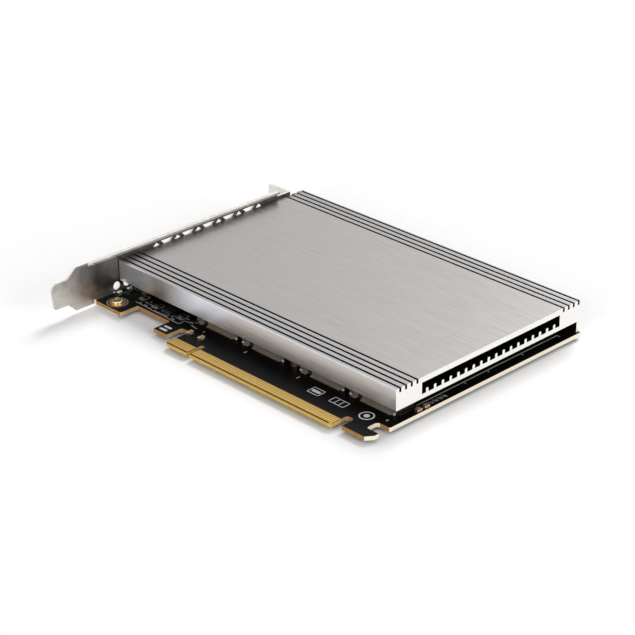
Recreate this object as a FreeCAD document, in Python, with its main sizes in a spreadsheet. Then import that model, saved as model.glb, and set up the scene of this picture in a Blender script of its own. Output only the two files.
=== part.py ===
import FreeCAD, Part
import math
import os
from types import SimpleNamespace

import Sketcher

# Adapter card for the long expansion slot: it carries four storage modules under one
# extruded aluminium heatsink, and a folded steel bracket holds it to the computer's case.
#
# Frame, in millimetres: X runs along the card, away from the bracket. Y runs from the
# contact edge to the card's top edge. Z stands up from the board's component side.
# The origin is where the middle of the key notch meets the contact edge, on that side.

DRIVING = {
    # printed circuit board
    "board_left": -57.15,
    "board_right": 88.0,
    "board_top": 111.15,
    "board_thickness": 1.57,
    "board_lower_edge": 12.4,
    "board_corner": 0.4,
    "foot_right": -42.25,
    "foot_bottom": 4.2,
    "tongue_left": -23.7,
    "tongue_right": -16.5,
    "tongue_bottom": 4.5,
    "gap_depth": 11.9,
    "gap_radius": 1.3,
    "key_width": 1.9,
    "key_depth": 8.0,
    "key_corner_radius": 0.9,
    "finger_left": -12.15,
    "finger_right": 72.15,
    "finger_corner": 0.9,
    "bevel_run": 1.0,
    "bevel_depth": 0.45,
    "hook_left": 75.5,
    "hook_bottom": 2.3,
    "hook_corner_run": 2.0,
    "hook_corner_rise": 2.8,
    "hook_gap_depth": 8.4,
    "hook_gap_radius": 1.3,
    "notch_left": 82.3,
    "notch_bottom": 7.1,
    "notch_small_radius": 0.9,
    "notch_large_radius": 1.6,
    # gold contacts of the edge connector
    "contact_pitch": 1.0,
    "contact_width": 0.7,
    "contact_thickness": 0.05,
    "contact_first": -11.5,
    "contact_near": 1.0,
    "contact_far": 5.3,
    "contacts_before_key": 11,
    "contacts_after_key": 71,
    # folded bracket
    "bracket_inner": -57.4,
    "sheet": 0.86,
    "bracket_length": 120.02,
    "bracket_width": 18.42,
    "tab_face": 105.41,
    "tab_length": 11.43,
    "tab_top": 13.6,
    "tab_corner_radius": 1.2,
    "bend_radius": 0.7,
    "plug_width": 10.19,
    "plug_length": 6.56,
    "plug_slant": 1.2,
    "plug_low_step": 3.4,
    "plug_high_run": 4.4,
    "plate_lift": 0.27,
    "plug_low_radius": 1.4,
    "plug_high_radius": 3.0,
    "rim_width": 2.4,
    "rim_start": 2.9,
    "rim_end": 98.0,
    "relief_width": 0.8,
    "relief_depth": 1.5,
    "case_notch_width": 4.4,
    "case_notch_depth": 5.2,
    "case_notch_reach": 6.6,
    "ear_width": 8.4,
    "ear_reach": 12.6,
    "ear_pitch": 85.1,
    "vent_first": 34.9,
    "vent_pitch": 10.55,
    "vent_count": 6,
    "vent_top": 13.69,
    "vent_half_height": 3.99,
    "vent_web": 1.6,
    "window_first": 14.8,
    "window_pitch": 4.9,
    "window_count": 4,
    "window_height": 2.4,
    "window_radius": 1.6,
    # screws that hold the bracket
    "bracket_screw_x": -49.9,
    "bracket_screw_y": 8.9,
    "bracket_screw_radius": 1.45,
    "bracket_head_radius": 2.35,
    "bracket_head_height": 1.1,
    # heatsink extrusion
    "sink_left": -57.0,
    "sink_right": 87.0,
    "sink_near": 16.2,
    "sink_far": 111.5,
    "sink_under": 4.3,
    "sink_top": 12.5,
    "sink_leg": 1.75,
    "sink_edge": 0.2,
    "tunnel_near": 28.7,
    "tunnel_far": 100.0,
    "tunnel_floor": 6.0,
    "tunnel_roof": 10.4,
    "fin_first": 31.3,
    "fin_pitch": 3.87,
    "fin_count": 18,
    "fin_width": 1.2,
    "fin_height": 1.7,
    "fin_chamfer": 0.35,
    "groove_width": 1.0,
    "groove_depth": 1.6,
    "groove_pitch": 2.75,
    "groove_count": 4,
    "groove_near": 18.2,
    "groove_far": 102.1,
    # spacers and screws that hold the heatsink
    "post_left": -49.0,
    "post_near": 22.0,
    "post_far": 105.5,
    "post_radius": 2.3,
    "post_screw_radius": 1.4,
    "post_screw_reach": 4.0,
    "post_head_radius": 2.5,
    "post_head_height": 1.05,
    # storage module sockets
    "socket_first": -6.2,
    "socket_pitch": 24.4,
    "socket_middle_pitch": 30.0,
    "socket_width": 21.9,
    "socket_back": 20.0,
    "socket_depth": 8.5,
    "socket_height": 3.2,
    "socket_step_depth": 2.2,
    "socket_step_height": 0.7,
    "mouth_width": 20.0,
    "mouth_low": 1.35,
    "mouth_high": 2.35,
    "mouth_depth": 5.4,
    "key_offset": -6.125,
    "key_rib": 1.0,
    "lead_span": 9.25,
    "lead_pitch": 0.5,
    "lead_width": 0.22,
    "lead_length": 0.8,
    "lead_thickness": 0.2,
    "leads_long": 29,
    "leads_short": 5,
    "solder_tab_offset": 10.33,
    "solder_tab_width": 1.2,
    "solder_tab_length": 0.7,
    "solder_tab_height": 1.5,
    "solder_tab_sheet": 0.25,
    # storage module seats and pads
    "module_edge": 23.1,
    "module_length": 80.0,
    "seat_radius": 2.2,
    "seat_hole_radius": 1.5,
    "seat_height": 1.45,
    "seat_thread_radius": 0.8,
    "pad_width": 22.0,
    "pad_length": 70.0,
    "pad_thickness": 0.5,
    "pad_near": 31.5,
    # status lights
    "light_depth": 1.0,
    "light_width": 1.6,
    "light_height": 0.7,
    "light_gap": 0.9,
    # chips and the power coil
    "clock_x": -29.95,
    "clock_y": 17.9,
    "clock_length": 5.0,
    "clock_width": 4.4,
    "clock_height": 1.1,
    "clock_lead_pitch": 0.65,
    "clock_lead_count": 8,
    "clock_lead_width": 0.28,
    "clock_lead_length": 1.0,
    "clock_lead_height": 0.45,
    "clock_lead_sheet": 0.15,
    "clock_lift": 0.15,
    "regulator_x": -38.0,
    "regulator_y": 30.0,
    "regulator_side": 5.0,
    "regulator_height": 0.95,
    "coil_x": -38.0,
    "coil_y": 40.0,
    "coil_side": 7.2,
    "coil_height": 3.6,
    "coil_corner_radius": 1.0,
    "coil_foot": 0.3,
    "coil_foot_reach": 1.8,
    "coil_foot_width": 3.6,
    # capacitors and resistors
    "capacitor_length": 2.5,
    "capacitor_width": 1.6,
    "capacitor_height": 1.0,
    "capacitor_end": 0.5,
    "resistor_length": 1.6,
    "resistor_width": 0.8,
    "resistor_height": 0.45,
    "resistor_end": 0.3,
    "finger_capacitor_near": 1.15,
    "finger_capacitor_apart": 6.05,
    "finger_capacitor_inset": 1.4,
    "side_capacitor_inset": 1.4,
    "side_capacitor_rise": 7.5,
    "side_capacitor_apart": 3.6,
    "coil_capacitor_gap": 2.5,
    "coil_capacitor_apart": 5.0,
    "clock_resistor_left": 3.2,
    "clock_resistor_right": 3.0,
    "clock_resistor_apart": 1.8,
    "clock_resistor_low": 1.2,
    # clearances
    "hole_clearance": 0.15,
    "bore_spare": 0.5,
    "thread_clearance": 0.05,
}


class Size:
    """A length that carries the sheet's formula along with its number."""

    def __init__(self, number, formula):
        self.number = number
        self.formula = formula

    def __add__(self, other):
        other = size(other)
        return Size(self.number + other.number, "(%s + %s)" % (self.formula, other.formula))

    def __sub__(self, other):
        other = size(other)
        return Size(self.number - other.number, "(%s - %s)" % (self.formula, other.formula))

    def __mul__(self, other):
        other = size(other)
        return Size(self.number * other.number, "(%s * %s)" % (self.formula, other.formula))

    def __truediv__(self, other):
        other = size(other)
        return Size(self.number / other.number, "(%s / %s)" % (self.formula, other.formula))

    def __radd__(self, other):
        return size(other) + self

    def __rsub__(self, other):
        return size(other) - self

    def __rmul__(self, other):
        return size(other) * self

    def __neg__(self):
        return size(0) - self


def size(value):
    """A plain number as a Size, or a Size as it is."""
    if isinstance(value, Size):
        return value
    return Size(value, "(%.6f)" % value)


doc = FreeCAD.newDocument("AdapterCard")
sheet = doc.addObject("Spreadsheet::Sheet", "Dimensions")
for row, (alias, number) in enumerate(DRIVING.items(), start=1):
    sheet.set("A%d" % row, alias)
    sheet.set("B%d" % row, str(number))
    sheet.setAlias("B%d" % row, alias)
doc.recompute()
D = SimpleNamespace(**{name: Size(number, "Dimensions." + name) for name, number in DRIVING.items()})

# places that several pieces share
BOARD_UNDER = -D.board_thickness
BRACKET_OUTER = D.bracket_inner - D.sheet
BRACKET_LOW = BOARD_UNDER - D.sheet
BRACKET_HIGH = BRACKET_LOW + D.bracket_width
PLATE_LOW = BOARD_UNDER + D.plate_lift
BRACKET_SCREWS = [
    (D.bracket_screw_x, D.bracket_screw_y),
    (D.bracket_screw_x, D.bracket_screw_y + D.ear_pitch),
]
SOCKETS = [
    D.socket_first,
    D.socket_first + D.socket_pitch,
    D.socket_first + D.socket_pitch + D.socket_middle_pitch,
    D.socket_first + 2 * D.socket_pitch + D.socket_middle_pitch,
]
MIDDLE_GAP = (SOCKETS[1] + SOCKETS[2]) / 2
LAST_GAP = (SOCKETS[2] + SOCKETS[3]) / 2
POSTS = [
    (D.post_left, D.post_near),
    (MIDDLE_GAP, D.post_near),
    (D.post_left, D.post_far),
    (MIDDLE_GAP, D.post_far),
    (LAST_GAP, D.post_far),
]
SEAT_Y = D.module_edge + D.module_length


def bind(thing, name, value):
    """Set a property to a Size by its formula."""
    thing.setExpression(name, size(value).formula)


def new_body(label):
    body = doc.addObject("PartDesign::Body", label)
    body.Label = label
    body.AllowCompound = True
    return body


def new_sketch(body, plane, offset=0):
    """An empty sketch on one of the body's own origin planes, moved along its normal."""
    sketch = body.newObject("Sketcher::SketchObject", body.Label + "_sketch")
    origin_plane = [item for item in body.Origin.OriginFeatures if item.Role == plane][0]
    sketch.AttachmentSupport = [(origin_plane, "")]
    sketch.MapMode = "FlatFace"
    bind(sketch, "AttachmentOffset.Base.z", offset)
    return sketch


def hold(sketch, kind, geometry, point, value):
    """Fix a point's distance from the sketch's origin, along one axis, to a Size."""
    value = size(value)
    number = sketch.addConstraint(Sketcher.Constraint(kind, -1, 1, geometry, point, value.number))
    sketch.setExpression("Constraints[%d]" % number, value.formula)


def draw_outline(sketch, corners):
    """A closed outline of straight lines through corners given as pairs of Sizes."""
    corners = [(size(across), size(up)) for across, up in corners]
    count = len(corners)
    first = sketch.GeometryCount
    points = [FreeCAD.Vector(across.number, up.number, 0) for across, up in corners]
    for index in range(count):
        sketch.addGeometry(Part.LineSegment(points[index], points[(index + 1) % count]), False)
    for index in range(count):
        after = first + (index + 1) % count
        sketch.addConstraint(Sketcher.Constraint("Coincident", first + index, 2, after, 1))
    for index, (across, up) in enumerate(corners):
        hold(sketch, "DistanceX", first + index, 1, across)
        hold(sketch, "DistanceY", first + index, 1, up)


def draw_box(sketch, left, bottom, right, top):
    draw_outline(sketch, [(left, bottom), (right, bottom), (right, top), (left, top)])


def draw_circle(sketch, across, up, radius):
    across, up, radius = size(across), size(up), size(radius)
    middle = FreeCAD.Vector(across.number, up.number, 0)
    circle = Part.Circle(middle, FreeCAD.Vector(0, 0, 1), radius.number)
    geometry = sketch.addGeometry(circle, False)
    hold(sketch, "DistanceX", geometry, 3, across)
    hold(sketch, "DistanceY", geometry, 3, up)
    number = sketch.addConstraint(Sketcher.Constraint("Radius", geometry, radius.number))
    sketch.setExpression("Constraints[%d]" % number, radius.formula)


def finish(body, feature):
    """Make a feature the body's tip, and stop if it failed."""
    body.Tip = feature
    doc.recompute()
    if "Invalid" in feature.State or "Error" in feature.State or feature.Shape.isNull():
        raise RuntimeError("%s in %s failed" % (feature.Name, body.Label))
    return feature


def pad(body, sketch, length, back=False):
    feature = body.newObject("PartDesign::Pad", body.Label + "_pad")
    feature.Profile = (sketch, [""])
    bind(feature, "Length", length)
    feature.Reversed = back
    return finish(body, feature)


def pocket(body, sketch, length, back=False):
    """Cut a sketch out of the body, against the plane's normal or, with back, along it."""
    before = body.Tip.Shape.Volume
    feature = body.newObject("PartDesign::Pocket", body.Label + "_pocket")
    feature.Profile = (sketch, [""])
    bind(feature, "Length", length)
    feature.Reversed = back
    finish(body, feature)
    if feature.Shape.Volume > before - 1e-6:
        raise RuntimeError("a pocket in %s cuts nothing" % body.Label)
    return feature


def repeat(body, feature, sketch, axis, pitch, count):
    """Repeat a feature along one axis of its sketch."""
    pattern = body.newObject("PartDesign::LinearPattern", body.Label + "_pattern")
    pattern.Originals = [feature]
    pattern.Direction = (sketch, [axis])
    pattern.Mode = "Spacing"
    bind(pattern, "Offset", pitch)
    bind(pattern, "Occurrences", count)
    return finish(body, pattern)


def edges_at(shape, direction, places):
    """Names of straight edges along a direction, through places given across it.

    A place may end with a third value, a point along the direction that the edge must span.
    """
    across = [axis for axis in range(3) if axis != direction]
    names = []
    for index, edge in enumerate(shape.Edges, start=1):
        start, end = edge.Vertexes[0].Point, edge.Vertexes[-1].Point
        if any(abs(start[axis] - end[axis]) > 1e-6 for axis in across):
            continue
        low, high = sorted((start[direction], end[direction]))
        for place in places:
            reach = [abs(start[axis] - size(value).number) for axis, value in zip(across, place)]
            spans = len(place) < 3 or low < place[2].number < high
            if max(reach) < 1e-4 and spans:
                names.append("Edge%d" % index)
    return names


def round_edges(body, direction, places, radius):
    """Fillet the edges that run along a direction through the given places."""
    base = body.Tip
    names = edges_at(base.Shape, direction, places)
    if len(names) < len(places):
        raise RuntimeError("an edge to round is missing in %s" % body.Label)
    feature = body.newObject("PartDesign::Fillet", body.Label + "_fillet")
    feature.Base = (base, names)
    bind(feature, "Radius", radius)
    return finish(body, feature)


def bevel_edges(body, direction, places, width):
    """Chamfer the edges that run along a direction through the given places."""
    base = body.Tip
    names = edges_at(base.Shape, direction, places)
    if len(names) < len(places):
        raise RuntimeError("an edge to bevel is missing in %s" % body.Label)
    feature = body.newObject("PartDesign::Chamfer", body.Label + "_chamfer")
    feature.Base = (base, names)
    bind(feature, "Size", width)
    return finish(body, feature)


def make_board():
    """The board: outline with contact block, key notch, two gaps, hook and notch, then holes."""
    body = new_body("board")
    half_key = D.key_width / 2
    outline = new_sketch(body, "XY_Plane", BOARD_UNDER)
    draw_outline(outline, [
        (D.board_left, D.foot_bottom),
        (D.foot_right, D.foot_bottom),
        (D.foot_right, D.board_lower_edge),
        (D.tongue_left, D.board_lower_edge),
        (D.tongue_left, D.tongue_bottom),
        (D.tongue_right, D.tongue_bottom),
        (D.tongue_right, D.gap_depth),
        (D.finger_left, D.gap_depth),
        (D.finger_left, D.finger_corner),
        (D.finger_left + D.finger_corner, 0),
        (-half_key, 0),
        (-half_key, D.key_depth),
        (half_key, D.key_depth),
        (half_key, 0),
        (D.finger_right - D.finger_corner, 0),
        (D.finger_right, D.finger_corner),
        (D.finger_right, D.hook_gap_depth),
        (D.hook_left, D.hook_gap_depth),
        (D.hook_left, D.hook_bottom),
        (D.board_right - D.hook_corner_run, D.hook_bottom),
        (D.board_right, D.hook_bottom + D.hook_corner_rise),
        (D.board_right, D.notch_bottom),
        (D.notch_left, D.notch_bottom),
        (D.notch_left, D.board_lower_edge),
        (D.board_right, D.board_lower_edge),
        (D.board_right, D.board_top),
        (D.board_left, D.board_top),
    ])
    pad(body, outline, D.board_thickness)

    bevel = new_sketch(body, "YZ_Plane", D.finger_left)
    draw_outline(bevel, [(0, 0), (D.bevel_run, 0), (0, -D.bevel_depth)])
    draw_outline(bevel, [
        (0, BOARD_UNDER),
        (D.bevel_run, BOARD_UNDER),
        (0, BOARD_UNDER + D.bevel_depth),
    ])
    pocket(body, bevel, D.finger_right - D.finger_left, back=True)

    round_edges(body, 2, [
        (D.tongue_right, D.gap_depth),
        (D.finger_left, D.gap_depth),
    ], D.gap_radius)
    round_edges(body, 2, [
        (D.finger_right, D.hook_gap_depth),
        (D.hook_left, D.hook_gap_depth),
    ], D.hook_gap_radius)
    round_edges(body, 2, [(-half_key, D.key_depth), (half_key, D.key_depth)], D.key_corner_radius)
    round_edges(body, 2, [(D.notch_left, D.notch_bottom)], D.notch_small_radius)
    round_edges(body, 2, [(D.notch_left, D.board_lower_edge)], D.notch_large_radius)
    bevel_edges(body, 2, [
        (D.board_left, D.foot_bottom),
        (D.foot_right, D.foot_bottom),
        (D.foot_right, D.board_lower_edge),
        (D.tongue_left, D.board_lower_edge),
        (D.board_right, D.board_top),
        (D.board_left, D.board_top),
        (D.board_right, D.board_lower_edge),
    ], D.board_corner)

    holes = new_sketch(body, "XY_Plane", 0)
    for across, up in BRACKET_SCREWS:
        draw_circle(holes, across, up, D.bracket_screw_radius + D.hole_clearance)
    for across, up in POSTS:
        draw_circle(holes, across, up, D.post_screw_radius + D.hole_clearance)
    for middle in SOCKETS:
        draw_circle(holes, middle, SEAT_Y, D.seat_hole_radius)
    pocket(body, holes, D.board_thickness)


def make_contacts(label, low):
    """One face's row of gold contacts, in the two runs beside the key notch."""
    body = new_body(label)
    half = D.contact_width / 2
    pins = D.contacts_before_key
    after_key = D.contact_first + (pins + 2) * D.contact_pitch
    for first, count in ((D.contact_first, pins), (after_key, D.contacts_after_key)):
        sketch = new_sketch(body, "XY_Plane", low)
        draw_box(sketch, first - half, D.contact_near, first + half, D.contact_far)
        contact = pad(body, sketch, D.contact_thickness)
        repeat(body, contact, sketch, "H_Axis", D.contact_pitch, count)


def make_bracket():
    """The bracket: one sheet with a plug, a folded rim, a folded tab, two ears and the vents."""
    body = new_body("bracket")
    plug_low = PLATE_LOW + D.plug_low_step
    plug_high = plug_low + D.plug_width
    plug_end = D.tab_face - D.bracket_length
    plug_root = plug_end + D.plug_length
    plate = new_sketch(body, "YZ_Plane", BRACKET_OUTER)
    draw_outline(plate, [
        (plug_end, plug_low),
        (plug_root, plug_low),
        (plug_root + D.plug_low_step, PLATE_LOW),
        (D.tab_face, PLATE_LOW),
        (D.tab_face, D.tab_top),
        (D.rim_end, D.tab_top),
        (D.rim_end, BRACKET_HIGH),
        (D.rim_start, BRACKET_HIGH),
        (D.rim_start, BRACKET_HIGH - D.relief_depth),
        (D.rim_start - D.relief_width, BRACKET_HIGH - D.relief_depth),
        (D.rim_start - D.relief_width, BRACKET_HIGH),
        (plug_root + D.plug_high_run, BRACKET_HIGH),
        (plug_root, plug_high),
        (plug_end - D.plug_slant, plug_high),
    ])
    pad(body, plate, D.sheet)

    rim = new_sketch(body, "XY_Plane", BRACKET_HIGH)
    draw_box(rim, BRACKET_OUTER, D.rim_start, BRACKET_OUTER + D.rim_width, D.rim_end)
    pad(body, rim, D.sheet, back=True)

    tab_end = BRACKET_OUTER - D.tab_length
    notch_middle = D.bracket_inner - D.case_notch_reach
    half_notch = D.case_notch_width / 2
    notch_root = PLATE_LOW + D.case_notch_depth - half_notch
    tab = new_sketch(body, "XZ_Plane", -D.tab_face)
    draw_box(tab, tab_end, PLATE_LOW, D.bracket_inner, D.tab_top)
    pad(body, tab, D.sheet)
    notch = new_sketch(body, "XZ_Plane", -D.tab_face)
    draw_box(notch, notch_middle - half_notch, PLATE_LOW, notch_middle + half_notch, notch_root)
    pocket(body, notch, D.sheet, back=True)
    notch_end = new_sketch(body, "XZ_Plane", -D.tab_face)
    draw_circle(notch_end, notch_middle, notch_root, half_notch)
    pocket(body, notch_end, D.sheet, back=True)

    half_ear = D.ear_width / 2
    relief_end = PLATE_LOW + D.relief_depth
    roots = new_sketch(body, "YZ_Plane", BRACKET_OUTER)
    for _, up in BRACKET_SCREWS:
        draw_box(roots, up - half_ear, BRACKET_LOW, up + half_ear, relief_end)
    pad(body, roots, D.sheet)
    ears = new_sketch(body, "XY_Plane", BOARD_UNDER)
    for across, up in BRACKET_SCREWS:
        draw_box(ears, BRACKET_OUTER, up - half_ear, D.bracket_inner + D.ear_reach, up + half_ear)
    pad(body, ears, D.sheet, back=True)
    slots = new_sketch(body, "YZ_Plane", BRACKET_OUTER)
    for _, up in BRACKET_SCREWS:
        for side in (-1, 1):
            root = up + side * half_ear
            draw_between(slots, root, root + side * D.relief_width, BRACKET_LOW, relief_end)
    pocket(body, slots, D.sheet, back=True)
    threads = new_sketch(body, "XY_Plane", BOARD_UNDER)
    for across, up in BRACKET_SCREWS:
        draw_circle(threads, across, up, D.bracket_screw_radius + D.thread_clearance)
    pocket(body, threads, D.sheet)

    make_vents(body)
    windows = new_sketch(body, "YZ_Plane", BRACKET_OUTER)
    draw_circle(windows, D.window_first, D.window_height, D.window_radius)
    window = pocket(body, windows, D.sheet, back=True)
    repeat(body, window, windows, "H_Axis", D.window_pitch, D.window_count)

    round_edges(body, 0, [(plug_end, plug_low)], D.plug_low_radius)
    round_edges(body, 0, [(plug_end - D.plug_slant, plug_high)], D.plug_high_radius)
    round_edges(body, 1, [
        (tab_end, D.tab_top),
        (tab_end, PLATE_LOW),
    ], D.tab_corner_radius)
    round_edges(body, 1, [(BRACKET_OUTER, BRACKET_HIGH)], D.bend_radius)
    folds = [(BRACKET_OUTER, BRACKET_LOW, up) for _, up in BRACKET_SCREWS]
    round_edges(body, 1, folds, D.bend_radius)
    round_edges(body, 2, [(D.bracket_inner, D.tab_face)], D.bend_radius)


def make_vents(body):
    """Vent openings: a row of upright squares with half squares between, webs at 45 degrees."""
    half = D.vent_half_height
    centre = D.vent_top - half
    web = D.vent_web * math.sqrt(2)
    between = D.vent_pitch / 2
    half_side = between - web
    whole = new_sketch(body, "YZ_Plane", BRACKET_OUTER)
    draw_outline(whole, [
        (D.vent_first - half, centre),
        (D.vent_first, centre - half),
        (D.vent_first + half, centre),
        (D.vent_first, centre + half),
    ])
    square = pocket(body, whole, D.sheet, back=True)
    repeat(body, square, whole, "H_Axis", D.vent_pitch, D.vent_count)
    halves = new_sketch(body, "YZ_Plane", BRACKET_OUTER)
    upper = D.vent_first + between
    draw_outline(halves, [
        (upper - half_side, centre + half),
        (upper, centre + half - half_side),
        (upper + half_side, centre + half),
    ])
    draw_outline(halves, [
        (upper - half_side, centre - half),
        (upper, centre - half + half_side),
        (upper + half_side, centre - half),
    ])
    pair = pocket(body, halves, D.sheet, back=True)
    repeat(body, pair, halves, "H_Axis", D.vent_pitch, D.vent_count - 1)


def make_heatsink():
    """The heatsink: one extrusion with a long leg, an air tunnel, fins, and grooves on top."""
    body = new_body("heatsink")
    length = D.sink_right - D.sink_left
    section = new_sketch(body, "YZ_Plane", D.sink_left)
    draw_outline(section, [
        (D.sink_near, D.sink_under),
        (D.sink_far - D.sink_leg, D.sink_under),
        (D.sink_far - D.sink_leg, 0),
        (D.sink_far, 0),
        (D.sink_far, D.sink_top),
        (D.sink_near, D.sink_top),
    ])
    pad(body, section, length)
    bevel_edges(body, 0, [
        (D.sink_near, D.sink_under),
        (D.sink_near, D.sink_top),
        (D.sink_far, D.sink_top),
    ], D.sink_edge)

    tunnel = new_sketch(body, "YZ_Plane", D.sink_left)
    draw_box(tunnel, D.tunnel_near, D.tunnel_floor, D.tunnel_far, D.tunnel_roof)
    pocket(body, tunnel, length, back=True)

    for first in (D.groove_near, D.groove_far):
        cut = new_sketch(body, "YZ_Plane", D.sink_left)
        half = D.groove_width / 2
        draw_box(cut, first - half, D.sink_top - D.groove_depth, first + half, D.sink_top)
        groove = pocket(body, cut, length, back=True)
        repeat(body, groove, cut, "H_Axis", D.groove_pitch, D.groove_count)

    rib = new_sketch(body, "YZ_Plane", D.sink_left)
    draw_fin(rib)
    fin = pad(body, rib, length)
    repeat(body, fin, rib, "H_Axis", D.fin_pitch, D.fin_count)

    threads = new_sketch(body, "XY_Plane", D.sink_under)
    for across, up in POSTS:
        draw_circle(threads, across, up, D.post_screw_radius + D.thread_clearance)
    pocket(body, threads, D.post_screw_reach + D.bore_spare, back=True)


def draw_fin(sketch):
    """One fin's section: upright sides on the tunnel's floor, and a tip with broken corners."""
    half = D.fin_width / 2
    left, right = D.fin_first - half, D.fin_first + half
    foot = D.tunnel_floor
    tip = foot + D.fin_height
    draw_outline(sketch, [
        (left, foot),
        (right, foot),
        (right, tip - D.fin_chamfer),
        (right - D.fin_chamfer, tip),
        (left + D.fin_chamfer, tip),
        (left, tip - D.fin_chamfer),
    ])


def make_turned(label, places, steps):
    """A group of equal turned pieces: each step is a low end, a high end and a radius."""
    body = new_body(label)
    for low, high, radius in steps:
        sketch = new_sketch(body, "XY_Plane", low)
        for across, up in places:
            draw_circle(sketch, across, up, radius)
        pad(body, sketch, high - low)
    return body


def make_fasteners():
    """Bracket screws, heatsink spacers with their screws, and the storage modules' seats."""
    make_turned("bracket_screws", BRACKET_SCREWS, [
        (size(0), D.bracket_head_height, D.bracket_head_radius),
        (BOARD_UNDER - D.sheet, size(0), D.bracket_screw_radius),
    ])

    spacers = make_turned("heatsink_spacers", POSTS, [(size(0), D.sink_under, D.post_radius)])
    bores = new_sketch(spacers, "XY_Plane", 0)
    for across, up in POSTS:
        draw_circle(bores, across, up, D.post_screw_radius + D.thread_clearance)
    pocket(spacers, bores, D.sink_under, back=True)

    make_turned("heatsink_screws", POSTS, [
        (BOARD_UNDER - D.post_head_height, BOARD_UNDER, D.post_head_radius),
        (BOARD_UNDER, D.sink_under + D.post_screw_reach, D.post_screw_radius),
    ])

    places = [(middle, SEAT_Y) for middle in SOCKETS]
    seats = make_turned("m2_seats", places, [(size(0), D.seat_height, D.seat_radius)])
    threads = new_sketch(seats, "XY_Plane", 0)
    for across, up in places:
        draw_circle(threads, across, up, D.seat_thread_radius)
    pocket(seats, threads, D.seat_height, back=True)


def make_socket(number, middle):
    """A storage module's socket: a low housing, open on its far side, with a key rib."""
    body = new_body("m2_socket_%d" % number)
    half = D.socket_width / 2
    front = D.socket_back + D.socket_depth
    base = new_sketch(body, "XY_Plane", 0)
    draw_box(base, middle - half, D.socket_back, middle + half, front)
    pad(body, base, D.socket_height)
    step = new_sketch(body, "YZ_Plane", middle - half)
    low = D.socket_height - D.socket_step_height
    draw_box(step, D.socket_back, low, D.socket_back + D.socket_step_depth, D.socket_height)
    pocket(body, step, D.socket_width, back=True)
    mouth = new_sketch(body, "XZ_Plane", -front)
    half_mouth = D.mouth_width / 2
    rib = middle + D.key_offset
    half_rib = D.key_rib / 2
    draw_box(mouth, middle - half_mouth, D.mouth_low, rib - half_rib, D.mouth_high)
    draw_box(mouth, rib + half_rib, D.mouth_low, middle + half_mouth, D.mouth_high)
    pocket(body, mouth, D.mouth_depth, back=True)


def make_socket_contacts(number, middle):
    """Solder feet along a socket's back, missing where the key stands."""
    body = new_body("m2_contacts_%d" % number)
    half = D.lead_width / 2
    near = D.socket_back - D.lead_length
    long_first = middle + D.lead_span - (D.leads_long - 1) * D.lead_pitch
    short_first = middle - D.lead_span
    for first, count in ((long_first, D.leads_long), (short_first, D.leads_short)):
        sketch = new_sketch(body, "XY_Plane", 0)
        draw_box(sketch, first - half, near, first + half, D.socket_back)
        foot = pad(body, sketch, D.lead_thickness)
        repeat(body, foot, sketch, "H_Axis", D.lead_pitch, count)


def make_solder_tabs():
    """Bent tabs behind each socket's two ends, soldered down to the board."""
    body = new_body("m2_solder_tabs")
    half = D.solder_tab_width / 2
    back = D.socket_back
    feet = new_sketch(body, "XY_Plane", 0)
    walls = new_sketch(body, "XY_Plane", 0)
    for middle in SOCKETS:
        for side in (-1, 1):
            tab = middle + side * D.solder_tab_offset
            draw_box(feet, tab - half, back - D.solder_tab_length, tab + half, back)
            draw_box(walls, tab - half, back - D.solder_tab_sheet, tab + half, back)
    pad(body, feet, D.solder_tab_sheet)
    pad(body, walls, D.solder_tab_height)


def draw_between(sketch, one, other, bottom, top):
    """A box between two sides given in either order."""
    left, right = sorted((one, other), key=lambda side: side.number)
    draw_box(sketch, left, bottom, right, top)


def make_pad(number, middle):
    """A soft heat-conducting pad on the heatsink's underside, over one module."""
    body = new_body("thermal_pad_%d" % number)
    sketch = new_sketch(body, "XY_Plane", D.sink_under)
    half = D.pad_width / 2
    draw_box(sketch, middle - half, D.pad_near, middle + half, D.pad_near + D.pad_length)
    pad(body, sketch, D.pad_thickness, back=True)


def make_lights():
    """Side-facing status lights behind the bracket's round windows."""
    body = new_body("status_lights")
    sketch = new_sketch(body, "XY_Plane", 0)
    left = D.board_left + D.light_gap
    half = D.light_width / 2
    draw_box(sketch, left, D.window_first - half, left + D.light_depth, D.window_first + half)
    light = pad(body, sketch, D.light_height)
    repeat(body, light, sketch, "V_Axis", D.window_pitch, D.window_count)


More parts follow.
